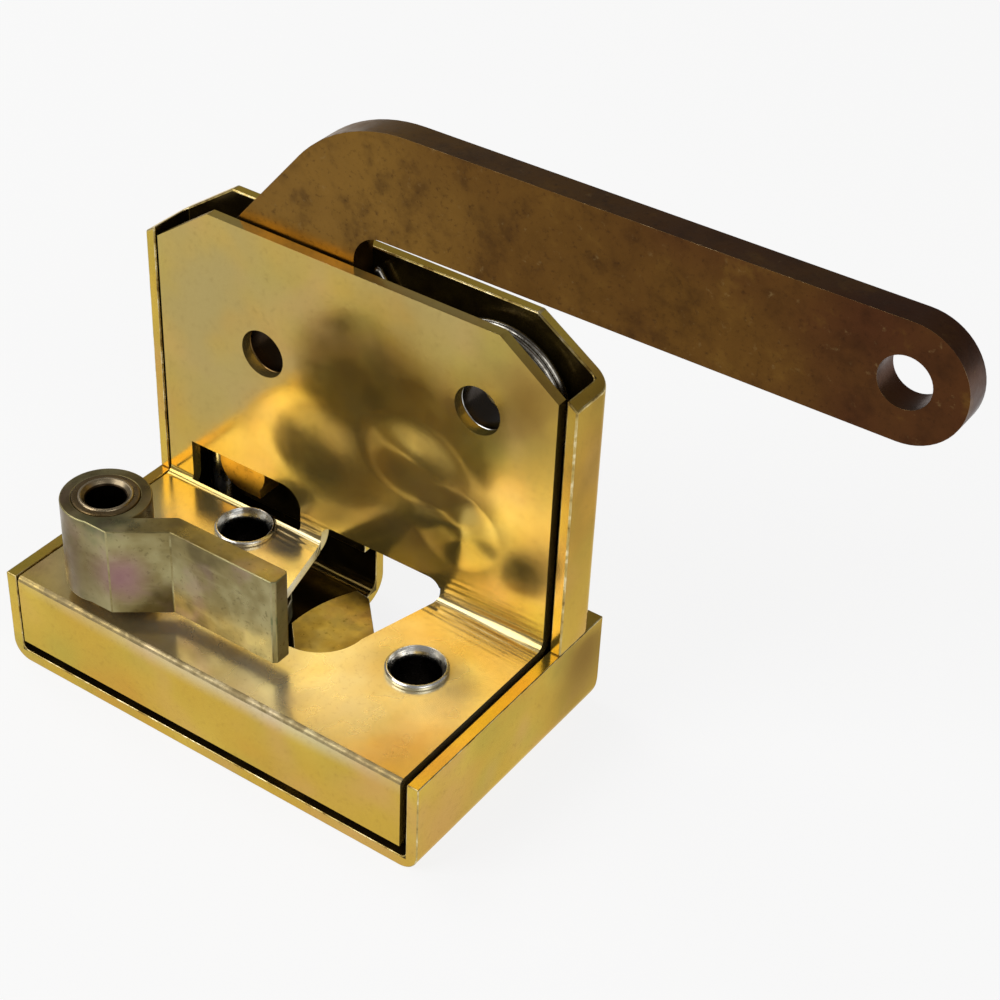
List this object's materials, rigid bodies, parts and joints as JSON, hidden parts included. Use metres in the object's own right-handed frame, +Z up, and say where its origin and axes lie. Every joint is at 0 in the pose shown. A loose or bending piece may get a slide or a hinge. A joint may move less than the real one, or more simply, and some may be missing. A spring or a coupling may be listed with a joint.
{
  "type": "cab door latch with inside handle lever",
  "caption": "Cab door latch in a folded case, with a rotating claw, a locking pawl, a push paddle and a long inside handle lever.",
  "frame": {"origin": "on the tray's underside: mid-width of the latch plate and mid-depth of the tray", "axes": "+X along the handle lever towards its end eye, +Y from the front flange to the rear wall, +Z up from the tray's underside"},
  "size_m": [0.1443, 0.0516, 0.1003],
  "materials": {
    "gold_zinc": "yellow zinc plate, shiny",
    "brown_zinc": "dark bronze-brown zinc plate",
    "olive_zinc": "dull olive zinc plate",
    "bronze": "plain bronze",
    "bright_steel": "bright steel",
    "spring_steel": "bright spring wire"
  },
  "bodies": {
    "case": {"latch_plate": "gold_zinc", "rear_channel": "gold_zinc", "bottom_tray": "gold_zinc", "claw_bush": "bright_steel", "pawl_bush": "bright_steel", "handle_bush": "bronze", "spacer_bush": "bright_steel", "shaft_stud": "bright_steel", "claw_stop": "bright_steel", "claw_washer": "bright_steel", "pawl_washer": "bright_steel", "claw_spring": "spring_steel", "pawl_spring": "spring_steel", "handle_spring": "spring_steel"},
    "handle": {"handle_lever": "brown_zinc"},
    "release_shaft": {"release_paddle": "olive_zinc", "eye_bush": "bronze", "pivot_tube": "bronze", "shaft_collar": "bright_steel", "release_crank": "olive_zinc", "trip_pin": "bright_steel", "pawl_pin": "bright_steel"},
    "claw": {"claw": "olive_zinc", "claw_cap": "olive_zinc", "claw_post": "bright_steel"},
    "pawl": {"pawl": "olive_zinc", "pawl_post": "bright_steel"}
  },
  "joints": [
    {"name": "handle_turn", "type": "hinge", "parent": "case", "child": "handle", "pos_m": [-0.01795, 0.01775, 0.0517], "axis": [0, 1, 0], "range_deg": [-7, 10], "stiffness_Nm_per_rad": 0.8, "springref_deg": -3.55, "deforming": ["handle_spring"]},
    {"name": "release_turn", "type": "hinge", "parent": "case", "child": "release_shaft", "pos_m": [-0.0258, -0.01775, 0.02], "axis": [0, 0, 1], "range_deg": [-5.3, 7.55]},
    {"name": "pawl_turn", "type": "hinge", "parent": "case", "child": "pawl", "pos_m": [-0.0186, 0.00755, 0.012], "axis": [0, 0, 1], "range_deg": [-8.45, 5.93], "deforming": ["pawl_spring"]},
    {"name": "claw_turn", "type": "hinge", "parent": "case", "child": "claw", "pos_m": [0.0268, -0.00375, 0.012], "axis": [0, 0, 1], "range_deg": [0, 47], "stiffness_Nm_per_rad": 0.15, "springref_deg": -17.19, "deforming": ["claw_spring"]}
  ],
  "couplings": [
    {"joint": "release_turn", "follows": "handle_turn", "ratio": 0.75},
    {"joint": "pawl_turn", "follows": "handle_turn", "ratio": -0.84}
  ]
}
